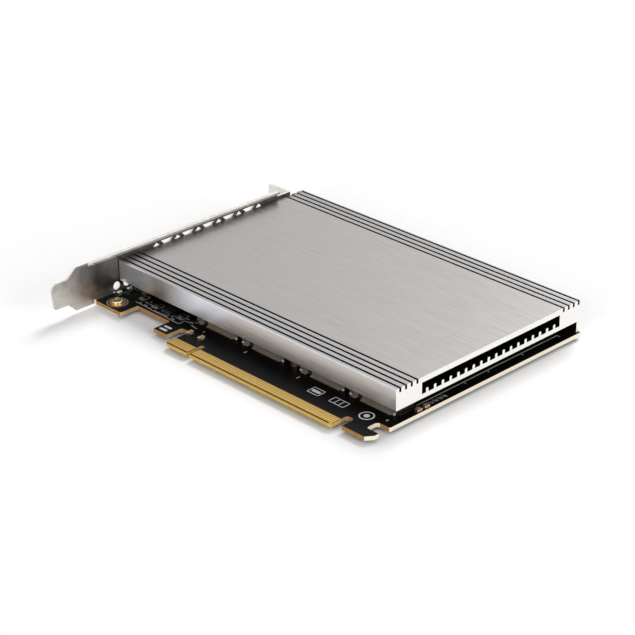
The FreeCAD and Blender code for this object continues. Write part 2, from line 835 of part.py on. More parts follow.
def make_chips():
    """The clock chip with its leads, the power regulator and its coil."""
    clock = new_body("clock_chip")
    half_length = D.clock_length / 2
    half_width = D.clock_width / 2
    sketch = new_sketch(clock, "XY_Plane", D.clock_lift)
    draw_box(sketch, D.clock_x - half_length, D.clock_y - half_width,
             D.clock_x + half_length, D.clock_y + half_width)
    pad(clock, sketch, D.clock_height)

    leads = new_body("clock_chip_leads")
    half_lead = D.clock_lead_width / 2
    sheet_thickness = D.clock_lead_sheet
    first = D.clock_x - (D.clock_lead_count - 1) * D.clock_lead_pitch / 2
    for side in (-1, 1):
        wall = D.clock_y + side * half_width
        toe = wall + side * D.clock_lead_length
        knee = wall + side * D.clock_lead_length / 2
        section = new_sketch(leads, "YZ_Plane", first - half_lead)
        draw_outline(section, [
            (toe, 0),
            (toe, sheet_thickness),
            (knee, sheet_thickness),
            (knee, D.clock_lead_height + sheet_thickness),
            (wall, D.clock_lead_height + sheet_thickness),
            (wall, D.clock_lead_height),
            (knee - side * sheet_thickness, D.clock_lead_height),
            (knee - side * sheet_thickness, 0),
        ])
        lead = pad(leads, section, D.clock_lead_width)
        repeat(leads, lead, section, "N_Axis", D.clock_lead_pitch, D.clock_lead_count)

    make_block("power_regulator", D.regulator_x, D.regulator_y,
               D.regulator_side, 0, D.regulator_height)
    coil = make_block("power_coil", D.coil_x, D.coil_y, D.coil_side, D.coil_foot, D.coil_height)
    half_side = D.coil_side / 2
    corners = [(D.coil_x + one * half_side, D.coil_y + other * half_side)
               for one in (-1, 1) for other in (-1, 1)]
    round_edges(coil, 2, corners, D.coil_corner_radius)
    feet = new_body("power_coil_feet")
    sketch = new_sketch(feet, "XY_Plane", 0)
    for side in (-1, 1):
        outer = D.coil_x + side * half_side
        draw_between(sketch, outer, outer - side * D.coil_foot_reach,
                     D.coil_y - D.coil_foot_width / 2, D.coil_y + D.coil_foot_width / 2)
    pad(feet, sketch, D.coil_foot)


def make_block(label, across, up, side, low, high):
    """A square block on the board."""
    body = new_body(label)
    sketch = new_sketch(body, "XY_Plane", low)
    half = side / 2
    draw_box(sketch, across - half, up - half, across + half, up + half)
    pad(body, sketch, high - low)
    return body


def make_two_ended(name, places, length, width, height, end):
    """Capacitors or resistors: bodies in one node and their metal ends in another.

    Each place is a middle and a direction, X or Y, that the piece lies along.
    """
    bodies = new_body(name + "_bodies")
    ends = new_body(name + "_ends")
    middles = new_sketch(bodies, "XY_Plane", 0)
    caps = new_sketch(ends, "XY_Plane", 0)
    half, half_width = length / 2, width / 2
    for across, up, along in places:
        if along == "X":
            draw_box(middles, across - half + end, up - half_width,
                     across + half - end, up + half_width)
            draw_box(caps, across - half, up - half_width, across - half + end, up + half_width)
            draw_box(caps, across + half - end, up - half_width, across + half, up + half_width)
        else:
            draw_box(middles, across - half_width, up - half + end,
                     across + half_width, up + half - end)
            draw_box(caps, across - half_width, up - half, across + half_width, up - half + end)
            draw_box(caps, across - half_width, up + half - end, across + half_width, up + half)
    pad(bodies, middles, height)
    pad(ends, caps, height)


def make_small_parts():
    """Capacitors by the contacts, the right edge and the coil, and resistors by the lights."""
    side_row = D.board_right - D.side_capacitor_inset
    side_first = D.socket_back + D.side_capacitor_rise
    finger_row = D.board_lower_edge - D.finger_capacitor_inset
    finger_first = D.finger_left + D.finger_capacitor_near
    beside_coil = D.coil_x + D.coil_side / 2 + D.coil_capacitor_gap
    half_apart = D.coil_capacitor_apart / 2
    capacitors = [
        (finger_first, finger_row, "Y"),
        (finger_first + D.finger_capacitor_apart, finger_row, "Y"),
        (side_row, side_first, "Y"),
        (side_row, side_first + D.side_capacitor_apart, "Y"),
        (beside_coil, D.coil_y - half_apart, "Y"),
        (beside_coil, D.coil_y + half_apart, "Y"),
    ]
    make_two_ended("capacitor", capacitors, D.capacitor_length, D.capacitor_width,
                   D.capacitor_height, D.capacitor_end)
    behind_lights = D.board_left + D.light_gap + D.light_depth + D.resistor_length
    lights = [D.window_first + step * D.window_pitch for step in range(DRIVING["window_count"])]
    left_of_clock = D.clock_x - D.clock_length / 2 - D.clock_resistor_left
    right_of_clock = D.clock_x + D.clock_length / 2 + D.clock_resistor_right
    low_row = D.clock_y - D.clock_resistor_low
    resistors = [(behind_lights, up, "X") for up in lights]
    resistors += [
        (left_of_clock, low_row, "Y"),
        (left_of_clock - D.clock_resistor_apart, low_row, "Y"),
        (right_of_clock, low_row, "X"),
        (right_of_clock, low_row + D.clock_resistor_apart, "X"),
    ]
    make_two_ended("resistor", resistors, D.resistor_length, D.resistor_width,
                   D.resistor_height, D.resistor_end)


def write_parts():
    """Check every object, then write each body to a file named after it."""
    doc.recompute()
    for item in doc.Objects:
        if "Invalid" in item.State or "Error" in item.State:
            raise RuntimeError("%s is %s" % (item.Label, item.State))
    bodies = [item for item in doc.Objects if item.TypeId == "PartDesign::Body"]
    for body in bodies:
        if body.Shape.isNull() or not body.Shape.isValid():
            raise RuntimeError("%s has no valid shape" % body.Label)
    os.makedirs("parts", exist_ok=True)
    for body in bodies:
        body.Shape.exportStep(os.path.join("parts", body.Label + ".step"))
        print(body.Label, len(body.Shape.Solids), "solids", round(body.Shape.Volume, 2), "mm3")


make_board()
make_contacts("edge_contacts_top", size(0))
make_contacts("edge_contacts_under", BOARD_UNDER - D.contact_thickness)
make_bracket()
make_heatsink()
make_fasteners()
for number, middle in enumerate(SOCKETS, start=1):
    make_socket(number, middle)
    make_socket_contacts(number, middle)
    make_pad(number, middle)
make_solder_tabs()
make_lights()
make_chips()
make_small_parts()
write_parts()
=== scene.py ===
import math

import bmesh
import bpy
from mathutils import Matrix, Vector


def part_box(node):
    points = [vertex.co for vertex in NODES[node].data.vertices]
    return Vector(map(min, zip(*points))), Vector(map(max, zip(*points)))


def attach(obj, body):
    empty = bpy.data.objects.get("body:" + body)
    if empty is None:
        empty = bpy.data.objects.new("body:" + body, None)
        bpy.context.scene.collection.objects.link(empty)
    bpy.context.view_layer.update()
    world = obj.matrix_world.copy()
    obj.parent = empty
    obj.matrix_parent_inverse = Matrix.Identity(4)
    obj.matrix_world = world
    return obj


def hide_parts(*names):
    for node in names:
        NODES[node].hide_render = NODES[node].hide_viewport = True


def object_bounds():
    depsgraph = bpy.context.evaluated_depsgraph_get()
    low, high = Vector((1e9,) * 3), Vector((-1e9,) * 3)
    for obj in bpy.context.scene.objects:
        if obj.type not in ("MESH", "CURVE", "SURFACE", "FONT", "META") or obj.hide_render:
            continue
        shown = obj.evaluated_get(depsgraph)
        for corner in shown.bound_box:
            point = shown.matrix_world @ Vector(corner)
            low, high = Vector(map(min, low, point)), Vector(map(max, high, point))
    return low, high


# The finish of an adapter card for four solid state modules: a black circuit board with gold edge
# contacts, a brushed aluminium heatsink over it and a galvanised steel bracket at its end.
# Metres, in the frame of the CAD part: X along the board away from the bracket, Y from the contact edge to
# the board's far edge, Z out of the component side. Lengths given to the helpers are in millimetres.

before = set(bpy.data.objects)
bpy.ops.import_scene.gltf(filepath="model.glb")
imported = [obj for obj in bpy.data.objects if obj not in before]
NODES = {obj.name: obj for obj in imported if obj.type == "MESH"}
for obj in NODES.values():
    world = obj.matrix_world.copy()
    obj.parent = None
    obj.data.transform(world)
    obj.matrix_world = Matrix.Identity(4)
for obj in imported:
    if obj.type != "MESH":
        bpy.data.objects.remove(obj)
CAD_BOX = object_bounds()
MM = 0.001


# ---------------------------------------------------------------- places on the card

def box_of(name):
    """A CAD node's lowest and highest corners, in millimetres."""
    low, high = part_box(name)
    return low / MM, high / MM


def solids_of(name):
    """The corners of each separate solid of a CAD node, in millimetres, from left to right."""
    mesh = NODES[name].data
    parent = {}

    def root_of(corner):
        while parent[corner] != corner:
            corner = parent[corner]
        return corner

    for face in mesh.polygons:
        places = [mesh.vertices[index].co for index in face.vertices]
        corners = [tuple(round(value / MM, 4) for value in place) for place in places]
        for corner in corners:
            parent.setdefault(corner, corner)
        for corner in corners[1:]:
            parent[root_of(corner)] = root_of(corners[0])
    groups = {}
    for corner in parent:
        groups.setdefault(root_of(corner), []).append(corner)
    boxes = []
    for corners in groups.values():
        low = Vector([min(corner[axis] for corner in corners) for axis in range(3)])
        high = Vector([max(corner[axis] for corner in corners) for axis in range(3)])
        boxes.append((low, high))
    return sorted(boxes, key=lambda box: (round(box[0].x, 2), round(box[0].y, 2)))


def middles_of(name):
    """The middle of each separate solid of a CAD node, across and up the board, in millimetres."""
    return [((low.x + high.x) / 2, (low.y + high.y) / 2) for low, high in solids_of(name)]


BOARD_UNDERSIDE = box_of("board")[0].z
SINK_LEFT = box_of("heatsink")[0].x
BAYS = "1234"
BAY_MIDDLES = [sum(corner.x for corner in box_of("m2_socket_" + bay)) / 2 for bay in BAYS]


# ---------------------------------------------------------------- camera

CAMERA_PLACE = Vector((0.49457, -0.41099, 0.33294))
CAMERA_FORWARD = Vector((-0.64614, 0.61977, -0.44540))
CAMERA_UP = Vector((-0.31385, 0.31618, 0.89528))
SENSOR_WIDTH = 36.0
FOCAL_SHARE = 2039.2 / 635.0
LENS_SHIFT = (0.00268, -0.0004)


def place_camera():
    """The camera stands off the board's lower right corner, above the card's top face."""
    forward = CAMERA_FORWARD.normalized()
    up = CAMERA_UP
    side = forward.cross(up).normalized()
    up = side.cross(forward).normalized()
    data = bpy.data.cameras.new("card_camera")
    data.sensor_width = SENSOR_WIDTH
    data.lens = FOCAL_SHARE * SENSOR_WIDTH
    data.shift_x, data.shift_y = LENS_SHIFT
    data.clip_start = 0.05
    data.clip_end = 20.0
    camera = bpy.data.objects.new("card_camera", data)
    bpy.context.scene.collection.objects.link(camera)
    turn = Matrix((side, up, -forward)).transposed().to_4x4()
    camera.matrix_world = Matrix.Translation(CAMERA_PLACE) @ turn
    bpy.context.scene.camera = camera


place_camera()


# ---------------------------------------------------------------- shader helpers

def start_material(name):
    """A material with its Principled shader, and the pieces that its nodes are made with."""
    material = bpy.data.materials.new(name)
    material.use_nodes = True
    tree = material.node_tree
    tree.nodes.clear()
    out = tree.nodes.new("ShaderNodeOutputMaterial")
    shader = tree.nodes.new("ShaderNodeBsdfPrincipled")
    tree.links.new(shader.outputs["BSDF"], out.inputs["Surface"])
    return material, tree, shader


def add(tree, kind, **settings):
    """A new node, with its properties and its plainly named inputs set."""
    node = tree.nodes.new(kind)
    inputs = settings.pop("inputs", {})
    for key, value in settings.items():
        setattr(node, key, value)
    for key, value in inputs.items():
        if isinstance(value, bpy.types.NodeSocket):
            tree.links.new(value, node.inputs[key])
        else:
            node.inputs[key].default_value = value
    return node


def sum_up(tree, operation, first, second=0.5, clamp=False):
    """One step of arithmetic on sockets or numbers. A step with one number leaves the second unused."""
    return add(tree, "ShaderNodeMath", operation=operation, use_clamp=clamp,
               inputs={0: first, 1: second}).outputs[0]


def invert(tree, mask, clamp=False):
    """1 where a mask is 0, and 0 where it is 1."""
    return sum_up(tree, "SUBTRACT", 1.0, mask, clamp)


def ramp(tree, value, low, high, out_low=0.0, out_high=1.0):
    """The value carried from one range to another, held at its ends."""
    return add(tree, "ShaderNodeMapRange", inputs={
        "Value": value, "From Min": low, "From Max": high,
        "To Min": out_low, "To Max": out_high}).outputs["Result"]


def blend(tree, share, first, second):
    """Two colours mixed by a share."""
    node = add(tree, "ShaderNodeMix", data_type="RGBA")
    given = ((node.inputs["Factor"], share), (node.inputs[6], first), (node.inputs[7], second))
    for socket, value in given:
        if isinstance(value, bpy.types.NodeSocket):
            tree.links.new(value, socket)
        elif isinstance(value, tuple):
            socket.default_value = (*value, 1.0)
        else:
            socket.default_value = value
    return node.outputs[2]


def noise(tree, scale, detail):
    """Soft noise over the piece, in cycles a metre."""
    where = add(tree, "ShaderNodeTexCoord").outputs["Object"]
    return add(tree, "ShaderNodeTexNoise", inputs={
        "Vector": where, "Scale": scale, "Detail": detail}).outputs["Fac"]


def spread(tree, value):
    """A noise's usual range, carried to 0 to 1."""
    return ramp(tree, value, 0.3, 0.7)


def linear(red, green, blue):
    """A colour given as it shows on a screen, carried to the light's own scale."""
    def one(value):
        value = value / 255.0
        return value / 12.92 if value <= 0.04045 else ((value + 0.055) / 1.055) ** 2.4
    return (one(red), one(green), one(blue))


def make_group(name, inputs, outputs):
    """An empty node group with its named inputs and outputs."""
    group = bpy.data.node_groups.new(name, "ShaderNodeTree")
    for title, kind, value in inputs:
        socket = group.interface.new_socket(name=title, in_out="INPUT", socket_type=kind)
        socket.default_value = value
    for title, kind in outputs:
        group.interface.new_socket(name=title, in_out="OUTPUT", socket_type=kind)
    return group, group.nodes.new("NodeGroupInput"), group.nodes.new("NodeGroupOutput")


def make_brushed_group():
    """Fine straight scratches along X, long beside their width, as a belt leaves them."""
    group, given, made = make_group(
        "brushed_along_x",
        [("Fine", "NodeSocketFloat", 9000.0), ("Broad", "NodeSocketFloat", 900.0)],
        [("Lines", "NodeSocketFloat"), ("Bands", "NodeSocketFloat")])
    where = add(group, "ShaderNodeTexCoord").outputs["Object"]
    long_way = add(group, "ShaderNodeMapping", inputs={"Vector": where, "Scale": (0.012, 1.0, 1.0)})
    wide_way = add(group, "ShaderNodeMapping", inputs={"Vector": where, "Scale": (0.05, 1.0, 1.0)})
    fine = add(group, "ShaderNodeTexNoise", inputs={
        "Vector": long_way.outputs["Vector"], "Scale": given.outputs["Fine"], "Detail": 2.0})
    broad = add(group, "ShaderNodeTexNoise", inputs={
        "Vector": wide_way.outputs["Vector"], "Scale": given.outputs["Broad"], "Detail": 3.0})
    group.links.new(fine.outputs["Fac"], made.inputs["Lines"])
    group.links.new(broad.outputs["Fac"], made.inputs["Bands"])
    return group


def make_edge_group():
    """A mask that is 1 on sharp outer edges, which the finishes paint lighter, partly as worn edges and
    partly as a painted highlight.
    """
    group, given, made = make_group(
        "sharp_edges",
        [("Width", "NodeSocketFloat", 0.0003), ("Strength", "NodeSocketFloat", 4.0)],
        [("Mask", "NodeSocketFloat")])
    bevel = add(group, "ShaderNodeBevel", samples=4)
    group.links.new(given.outputs["Width"], bevel.inputs["Radius"])
    true_normal = add(group, "ShaderNodeNewGeometry").outputs["True Normal"]
    match = add(group, "ShaderNodeVectorMath", operation="DOT_PRODUCT",
                inputs={0: bevel.outputs["Normal"], 1: true_normal}).outputs["Value"]
    away = invert(group, match, clamp=True)
    mask = sum_up(group, "MULTIPLY", away, given.outputs["Strength"], clamp=True)
    group.links.new(mask, made.inputs["Mask"])
    return group


def make_spangle_group():
    """Cloudy patches like a zinc coat's soft crystals."""
    group, given, made = make_group(
        "zinc_clouds",
        [("Size", "NodeSocketFloat", 260.0)],
        [("Clouds", "NodeSocketFloat"), ("Grain", "NodeSocketFloat")])
    where = add(group, "ShaderNodeTexCoord").outputs["Object"]
    wide = add(group, "ShaderNodeTexNoise", inputs={
        "Vector": where, "Scale": given.outputs["Size"], "Detail": 3.0, "Distortion": 0.4})
    tight = add(group, "ShaderNodeTexNoise", inputs={
        "Vector": where, "Scale": 2600.0, "Detail": 2.0})
    group.links.new(wide.outputs["Fac"], made.inputs["Clouds"])
    group.links.new(tight.outputs["Fac"], made.inputs["Grain"])
    return group


BRUSHED = make_brushed_group()
EDGES = make_edge_group()
SPANGLE = make_spangle_group()


def use(tree, group, **inputs):
    """A node group placed in a material with its own values."""
    node = tree.nodes.new("ShaderNodeGroup")
    node.node_tree = group
    for title, value in inputs.items():
        node.inputs[title].default_value = value
    return node


def roughen(tree, shader, height, strength, distance):
    """A bump from a height mask, whose full height is the distance in metres."""
    bump = add(tree, "ShaderNodeBump", inputs={
        "Height": height, "Strength": strength, "Distance": distance})
    tree.links.new(bump.outputs["Normal"], shader.inputs["Normal"])


def split(tree, vector):
    """The X, Y and Z parts of a vector."""
    return add(tree, "ShaderNodeSeparateXYZ", inputs={"Vector": vector}).outputs


def surface(tree):
    """The parts of a surface point's place on the card, in metres, and of its direction."""
    where = add(tree, "ShaderNodeTexCoord").outputs["Object"]
    facing = add(tree, "ShaderNodeNewGeometry").outputs["True Normal"]
    return split(tree, where), split(tree, facing)


def within(tree, value, low, high):
    """1 where a value lies between two numbers, and 0 elsewhere."""
    return add(tree, "ShaderNodeMath", operation="COMPARE", inputs={
        0: value, 1: (low + high) / 2, 2: (high - low) / 2}).outputs[0]


def both(tree, *masks):
    """Masks and shares multiplied together, however many there are."""
    result = masks[0]
    for mask in masks[1:]:
        result = sum_up(tree, "MULTIPLY", result, mask)
    return result


def any_of(tree, *masks):
    """1 where any of the masks is."""
    result = masks[0]
    for mask in masks[1:]:
        result = sum_up(tree, "MAXIMUM", result, mask)
    return result


# ---------------------------------------------------------------- finishes

def make_heatsink_aluminium():
    """Extruded aluminium, brushed lengthways. Its end faces are painted near white as a painted highlight
    and its near face is painted lighter as painted light. There is painted shade along part of the near
    face, by the bracket and in its grooves, tunnel and bays, and lighter sharp edges, partly worn and partly
    a painted highlight.
    """
    material, tree, shader = start_material("heatsink_aluminium")
    brushed = use(tree, BRUSHED)
    lines = spread(tree, brushed.outputs["Lines"])
    bands = spread(tree, brushed.outputs["Bands"])
    streaks = sum_up(tree, "ADD", both(tree, lines, 0.75), both(tree, bands, 0.25))
    face = blend(tree, streaks, linear(155, 153, 152), linear(165, 163, 162))
    where, facing = surface(tree)
    end_face = within(tree, sum_up(tree, "ABSOLUTE", facing["X"]), 0.9, 1.1)
    not_end = invert(tree, end_face)
    # Painted light: the near face, turned towards -Y, is painted much lighter and a little bluer than the
    # top, for the light it takes from the front.
    near_side = within(tree, facing["Y"], -1.1, -0.5)
    painted_near_face_light = blend(tree, streaks, linear(218, 221, 228), linear(236, 239, 245))
    face = blend(tree, near_side, face, painted_near_face_light)
    # Painted shade: a darker patch along the near face, from about 12 to 48 mm across the board.
    rising = ramp(tree, where["X"], -0.012, -0.032)
    falling = ramp(tree, where["X"], -0.048, -0.036)
    face = blend(tree, both(tree, near_side, rising, falling, 0.85), face, linear(132, 124, 118))
    # Painted shade: faces other than the near face darken within about 2.6 mm of the bracket end, where the
    # bracket shades them.
    painted_shade_by_bracket = ramp(tree, where["X"], (SINK_LEFT + 0.8) * MM, (SINK_LEFT + 2.6) * MM, 0.8, 0.0)
    not_near = invert(tree, near_side)
    face = blend(tree, both(tree, painted_shade_by_bracket, not_near), face, linear(104, 94, 88))
    # Painted shade: the grooves, the tunnel and the bays under the heatsink are painted near black, except
    # on the end faces.
    grooves = both(tree, within(tree, where["Z"], 0.0107, 0.0124), within(tree, where["Y"], 0.0164, 0.1113))
    tunnel = both(tree, within(tree, where["Z"], 0.0059, 0.0105), within(tree, where["Y"], 0.0286, 0.1001))
    bays = both(tree, within(tree, where["Z"], -0.001, 0.0044), within(tree, where["Y"], 0.0164, 0.1100))
    painted_hollow_shade = both(tree, any_of(tree, grooves, tunnel, bays), not_end)
    face = blend(tree, painted_hollow_shade, face, linear(52, 49, 47))
    # Painted highlight: both end faces are painted near white, and further down made barely metallic,
    # standing in for strong light from the side.
    painted_end_highlight = blend(tree, streaks, linear(240, 237, 233), linear(250, 247, 243))
    face = blend(tree, end_face, face, painted_end_highlight)
    # Lighter sharp edges, outside the painted-shade recesses: partly worn, partly a painted highlight.
    wear_and_edge_highlight = use(tree, EDGES, Width=0.0002, Strength=3.0).outputs["Mask"]
    bare_and_edge_highlight = both(tree, wear_and_edge_highlight, invert(tree, painted_hollow_shade), 0.5)
    tree.links.new(blend(tree, bare_and_edge_highlight, face, linear(236, 233, 230)), shader.inputs["Base Color"])
    tree.links.new(ramp(tree, end_face, 0.0, 1.0, 0.92, 0.1), shader.inputs["Metallic"])
    tree.links.new(ramp(tree, streaks, 0.0, 1.0, 0.26, 0.34), shader.inputs["Roughness"])
    roughen(tree, shader, lines, 0.08, 0.00002)
    return material


def make_board_black():
    """Black solder mask, with the glass fibre showing on the cut edges and gilt on the contacts' bevel. The
    edges turned to +X are painted lighter, and near cream at the right end, as painted light.
    """
    material, tree, shader = start_material("circuit_board")
    where, facing = surface(tree)
    cut = within(tree, facing["Z"], -0.97, 0.97)
    layers = add(tree, "ShaderNodeTexWave", wave_type="BANDS", bands_direction="Z", inputs={
        "Vector": add(tree, "ShaderNodeTexCoord").outputs["Object"], "Scale": 700.0,
        "Distortion": 2.0, "Detail": 2.0, "Detail Scale": 2.0}).outputs["Fac"]
    cloudy = spread(tree, noise(tree, 700.0, 3.0))
    weave = blend(tree, layers, linear(140, 98, 54), linear(182, 138, 86))
    near_edge = blend(tree, both(tree, cloudy, 0.5), weave, linear(196, 150, 92))
    # Painted light: cut edges turned to +X are painted lighter than the others, and near cream at the
    # board's right end, standing in for light from that side.
    painted_side_edge_light = blend(tree, cloudy, linear(172, 146, 108), linear(196, 170, 130))
    painted_end_edge_light = blend(tree, layers, linear(240, 226, 200), linear(250, 242, 224))
    fibre = blend(tree, within(tree, facing["X"], 0.5, 1.1), near_edge, painted_side_edge_light)
    right_end = blend(tree, within(tree, facing["X"], 0.3, 1.1), near_edge, painted_end_edge_light)
    fibre = blend(tree, within(tree, where["X"], 0.0745, 0.09), fibre, right_end)
    gilt = blend(tree, cloudy, linear(196, 166, 84), linear(214, 186, 104))
    tongue = both(tree, within(tree, where["X"], -0.0125, 0.0725), within(tree, where["Y"], -0.001, 0.0052))
    fibre = blend(tree, tongue, fibre, gilt)
    upper_bevel = both(tree, tongue, within(tree, where["Z"], -0.00022, 0.0),
                       within(tree, where["X"], -0.012, 0.071))
    fibre = blend(tree, upper_bevel, fibre, linear(98, 62, 28))
    speck = noise(tree, 2600.0, 3.0)
    drift = noise(tree, 60.0, 2.0)
    lacquer = blend(tree, ramp(tree, drift, 0.35, 0.65), linear(9, 8, 7), linear(15, 13, 12))
    lacquer = blend(tree, both(tree, ramp(tree, speck, 0.5, 0.75), 0.3), lacquer, linear(32, 29, 28))
    between_contacts = both(tree, within(tree, where["X"], -0.0121, 0.0721),
                            within(tree, where["Y"], 0.0009, 0.0054))
    lacquer = blend(tree, both(tree, between_contacts, 0.85), lacquer, linear(92, 66, 30))
    tree.links.new(blend(tree, cut, lacquer, fibre), shader.inputs["Base Color"])
    tree.links.new(ramp(tree, cut, 0.0, 1.0, 0.4, 0.75), shader.inputs["Roughness"])
    shader.inputs["Specular IOR Level"].default_value = 0.05
    roughen(tree, shader, speck, 0.12, 0.00003)
    return material


def make_bracket_steel():
    """Zinc coated sheet steel with soft clouds and painted shade on its inner face towards the card. Its cut
    edges are painted near white as a painted highlight, and its sharp edges are lighter, partly worn and
    partly a painted highlight.
    """
    material, tree, shader = start_material("bracket_steel")
    zinc = use(tree, SPANGLE, Size=260.0)
    clouds = spread(tree, zinc.outputs["Clouds"])
    grains = spread(tree, zinc.outputs["Grain"])
    patches = sum_up(tree, "ADD", both(tree, clouds, 0.45), both(tree, grains, 0.55))
    coat = blend(tree, patches, linear(188, 183, 178), linear(230, 226, 221))
    where, facing = surface(tree)
    # Painted shade: the inner face darkens away from the plug end and above the board, up to the rim, where
    # the rim and the card shade it.
    inner = within(tree, facing["X"], 0.9, 1.1)
    along = ramp(tree, where["Y"], -0.005, 0.006)
    tall = ramp(tree, where["Z"], -0.001, 0.0035)
    painted_inner_shade = both(tree, inner, along, tall, within(tree, where["Z"], -0.003, 0.01512))
    shade = blend(tree, patches, linear(76, 72, 69), linear(118, 113, 109))
    coat = blend(tree, both(tree, painted_inner_shade, 0.9), coat, shade)
    tab = within(tree, where["Y"], 0.1066, 0.13)
    coat = blend(tree, both(tree, tab, 0.5), coat, linear(128, 126, 123))
    # Painted highlight: the sheet's cut edges, the vent walls among them, are painted near white and made
    # barely metallic.
    painted_cut_edge_highlight = both(tree, within(tree, facing["X"], -0.5, 0.5), within(tree, facing["Y"], -1.1, 0.9),
                   within(tree, facing["Z"], -1.1, 0.9))
    coat = blend(tree, both(tree, painted_cut_edge_highlight, 0.85), coat, linear(244, 241, 237))
    # Lighter sharp edges: partly worn, partly a painted highlight.
    wear_and_edge_highlight = use(tree, EDGES, Width=0.00016, Strength=3.0).outputs["Mask"]
    coat = blend(tree, both(tree, wear_and_edge_highlight, 0.55), coat, linear(240, 238, 234))
    tree.links.new(coat, shader.inputs["Base Color"])
    tree.links.new(ramp(tree, painted_cut_edge_highlight, 0.0, 1.0, 0.97, 0.2), shader.inputs["Metallic"])
    tree.links.new(ramp(tree, patches, 0.0, 1.0, 0.3, 0.42), shader.inputs["Roughness"])
    roughen(tree, shader, zinc.outputs["Grain"], 0.12, 0.00004)
    return material


def make_metal(name, dark, light, rough, metallic=1.0):
    """A plated or turned metal with a fine uneven grain."""
    material, tree, shader = start_material(name)
    grains = spread(tree, noise(tree, 2400.0, 2.0))
    wear_and_edge_highlight = use(tree, EDGES, Width=0.00008, Strength=2.0).outputs["Mask"]
    colour = blend(tree, grains, dark, light)
    # Lighter sharp edges: partly worn, partly a painted highlight.
    colour = blend(tree, both(tree, wear_and_edge_highlight, 0.3), colour, linear(250, 246, 236))
    tree.links.new(colour, shader.inputs["Base Color"])
    shader.inputs["Metallic"].default_value = metallic
    tree.links.new(ramp(tree, grains, 0.0, 1.0, rough - 0.05, rough + 0.06), shader.inputs["Roughness"])
    roughen(tree, shader, grains, 0.1, 0.00002)
    return material


def make_plastic(name, dark, light, rough):
    """A moulded plastic, ceramic or ink with a faint matt grain."""
    material, tree, shader = start_material(name)
    grains = spread(tree, noise(tree, 3000.0, 3.0))
    tree.links.new(blend(tree, grains, dark, light), shader.inputs["Base Color"])
    tree.links.new(ramp(tree, grains, 0.0, 1.0, rough - 0.04, rough + 0.06), shader.inputs["Roughness"])
    shader.inputs["Specular IOR Level"].default_value = 0.3
    roughen(tree, shader, grains, 0.12, 0.00003)
    return material


FINISH = {
    "heatsink_aluminium": make_heatsink_aluminium(),
    "circuit_board": make_board_black(),
    "bracket_steel": make_bracket_steel(),
    "gold": make_metal("contact_gold", linear(200, 162, 82), linear(218, 182, 102), 0.34),
    "socket_tail": make_metal(
        "socket_tail_metal", linear(164, 148, 126), linear(196, 181, 158), 0.45, metallic=0.3),
    "silk_ink": make_plastic("silk_ink", linear(214, 213, 211), linear(232, 231, 229), 0.6),
    "worn_ink": make_plastic("worn_ink", linear(184, 183, 192), linear(206, 205, 214), 0.6),
    # Painted reflection: the silver screw heads are tinted brass, for the gold ring under them that they
    # reflect.
    "bracket_screw": make_metal("bracket_screw_painted_reflection", linear(200, 172, 124), linear(240, 224, 190), 0.2),
    "screw_steel": make_metal("screw_steel", linear(184, 182, 178), linear(222, 220, 216), 0.2),
    "spacer_brass": make_metal("spacer_brass", linear(124, 106, 80), linear(164, 143, 112), 0.36),
    "socket_plastic": make_plastic("socket_plastic", linear(36, 30, 27), linear(52, 44, 39), 0.42),
    "tinned_metal": make_metal("tinned_metal", linear(196, 194, 192), linear(232, 230, 228), 0.3),
    "pad_rubber": make_plastic("pad_rubber", linear(118, 116, 122), linear(140, 138, 144), 0.7),
    "light_plastic": make_plastic("light_plastic", linear(214, 222, 206), linear(232, 236, 224), 0.3),
    "chip_plastic": make_plastic("chip_plastic", linear(22, 22, 23), linear(34, 34, 35), 0.4),
    "coil_body": make_plastic("coil_body", linear(58, 56, 55), linear(74, 72, 70), 0.6),
    "capacitor_ceramic": make_plastic("capacitor_ceramic", linear(170, 132, 98), linear(196, 158, 122), 0.4),
    "resistor_body": make_plastic("resistor_body", linear(24, 23, 24), linear(36, 35, 36), 0.36),
}

NODE_FINISH = {
    "board": "circuit_board",
    "edge_contacts_top": "gold",
    "edge_contacts_under": "gold",
    "bracket": "bracket_steel",
    "bracket_screws": "screw_steel",
    "heatsink": "heatsink_aluminium",
    "heatsink_spacers": "spacer_brass",
    "heatsink_screws": "screw_steel",
    "m2_seats": "tinned_metal",
    "m2_solder_tabs": "tinned_metal",
    "status_lights": "light_plastic",
    "clock_chip": "chip_plastic",
    "clock_chip_leads": "tinned_metal",
    "power_regulator": "chip_plastic",
    "power_coil": "coil_body",
    "power_coil_feet": "tinned_metal",
    "capacitor_bodies": "capacitor_ceramic",
    "capacitor_ends": "tinned_metal",
    "resistor_bodies": "resistor_body",
    "resistor_ends": "tinned_metal",
}
for bay in BAYS:
    NODE_FINISH["m2_socket_" + bay] = "socket_plastic"
    NODE_FINISH["m2_contacts_" + bay] = "socket_tail"
    NODE_FINISH["thermal_pad_" + bay] = "pad_rubber"


def finish_nodes():
    """Each CAD node takes its own finish."""
    for name, piece in NODES.items():
        piece.data.materials.clear()
        piece.data.materials.append(FINISH[NODE_FINISH[name]])


finish_nodes()


# ---------------------------------------------------------------- making pieces

def start_blank():
    """Nothing selected and nothing in edit mode, ready for a new piece."""
    if bpy.context.object and bpy.context.object.mode != "OBJECT":
        bpy.ops.object.mode_set(mode="OBJECT")
    bpy.ops.object.select_all(action="DESELECT")


def hold(piece):
    """Only this piece is selected and active."""
    start_blank()
    bpy.context.view_layer.objects.active = piece
    piece.select_set(True)


def settle(piece, name):
    """The piece's place, turn and scale go into its mesh."""
    hold(piece)
    bpy.ops.object.transform_apply(location=True, rotation=True, scale=True)
    piece.name = name
    piece.data.name = name
    return piece


